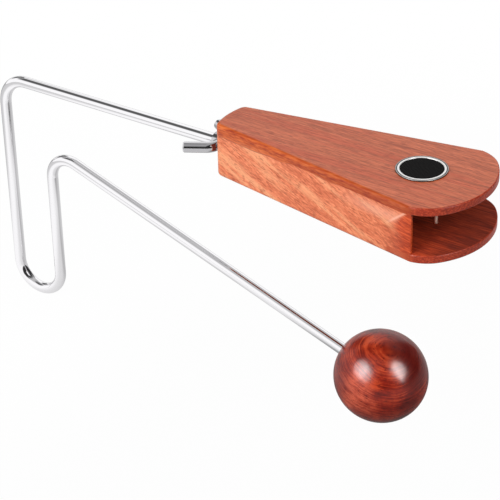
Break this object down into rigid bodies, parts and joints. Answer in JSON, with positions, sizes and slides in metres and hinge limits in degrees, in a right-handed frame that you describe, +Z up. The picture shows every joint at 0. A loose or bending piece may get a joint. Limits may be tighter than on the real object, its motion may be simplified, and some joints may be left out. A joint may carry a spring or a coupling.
{
  "type": "vibraslap",
  "caption": "Hand-held rattle: a bent steel rod joins a wooden striking ball to a tapered, open-mouthed wooden sound box in which loose rivets hang from a steel plate.",
  "frame": {"origin": "middle of the hand grip, midway between the rod's two upright legs", "axes": "+X from the grip to the mouth of the sound box, +Z up, Y across; y = 0 is the plane of symmetry"},
  "size_m": [0.3118, 0.0696, 0.1551],
  "materials": {
    "rod_chrome": "bright chrome plating",
    "plated_hardware": "bright plated steel",
    "box_wood": "satin oiled red-brown hardwood with straight grain",
    "ball_wood": "gloss lacquered dark red hardwood",
    "rattle_steel": "dark blued spring steel",
    "rivet_nickel": "nickel plated steel",
    "badge_black": "glossy black, blank",
    "badge_silver": "bright satin"
  },
  "bodies": {
    "handle": {"handle_rod": "rod_chrome", "strike_ball": "ball_wood", "lock_washer": "plated_hardware", "inner_nut": "plated_hardware"},
    "sound_box": {"top_board": "box_wood", "bottom_board": "box_wood", "left_side": "box_wood", "right_side": "box_wood", "rear_block": "box_wood", "rattle_plate": "rattle_steel", "badge_disc": "badge_black", "badge_ring": "badge_silver"},
    "clamp_washer": {"clamp_washer": "plated_hardware"},
    "wing_nut": {"wing_nut": "plated_hardware"},
    "rivet_1": {"rattle_rivet_1": "rivet_nickel"},
    "rivet_2": {"rattle_rivet_2": "rivet_nickel"},
    "rivet_3": {"rattle_rivet_3": "rivet_nickel"},
    "rivet_4": {"rattle_rivet_4": "rivet_nickel"},
    "rivet_5": {"rattle_rivet_5": "rivet_nickel"},
    "rivet_6": {"rattle_rivet_6": "rivet_nickel"},
    "rivet_7": {"rattle_rivet_7": "rivet_nickel"},
    "rivet_8": {"rattle_rivet_8": "rivet_nickel"}
  },
  "joints": [
    {"name": "box_swivel", "type": "hinge", "parent": "handle", "child": "sound_box", "pos_m": [0.141, 0, 0.0774], "axis": [1, 0, 0], "range_deg": [-180, 180]},
    {"name": "washer_slide", "type": "slide", "parent": "handle", "child": "clamp_washer", "axis": [-1, 0, 0], "range_m": [0, 0.00255]},
    {"name": "wing_nut_turn", "type": "hinge", "parent": "clamp_washer", "child": "wing_nut", "pos_m": [0.141, 0, 0.0774], "axis": [-1, 0, 0], "range_deg": [0, 720]},
    {"name": "rivet_1_rattle", "type": "slide", "parent": "sound_box", "child": "rivet_1", "axis": [0, 0, 1], "range_m": [0, 0.0033]},
    {"name": "rivet_2_rattle", "type": "slide", "parent": "sound_box", "child": "rivet_2", "axis": [0, 0, 1], "range_m": [0, 0.0033]},
    {"name": "rivet_3_rattle", "type": "slide", "parent": "sound_box", "child": "rivet_3", "axis": [0, 0, 1], "range_m": [0, 0.0033]},
    {"name": "rivet_4_rattle", "type": "slide", "parent": "sound_box", "child": "rivet_4", "axis": [0, 0, 1], "range_m": [0, 0.0033]},
    {"name": "rivet_5_rattle", "type": "slide", "parent": "sound_box", "child": "rivet_5", "axis": [0, 0, 1], "range_m": [0, 0.0033]},
    {"name": "rivet_6_rattle", "type": "slide", "parent": "sound_box", "child": "rivet_6", "axis": [0, 0, 1], "range_m": [0, 0.0033]},
    {"name": "rivet_7_rattle", "type": "slide", "parent": "sound_box", "child": "rivet_7", "axis": [0, 0, 1], "range_m": [0, 0.0033]},
    {"name": "rivet_8_rattle", "type": "slide", "parent": "sound_box", "child": "rivet_8", "axis": [0, 0, 1], "range_m": [0, 0.0033]}
  ],
  "couplings": [
    {"joint": "washer_slide", "follows": "wing_nut_turn", "m_per_rad": 0.00020213}
  ]
}
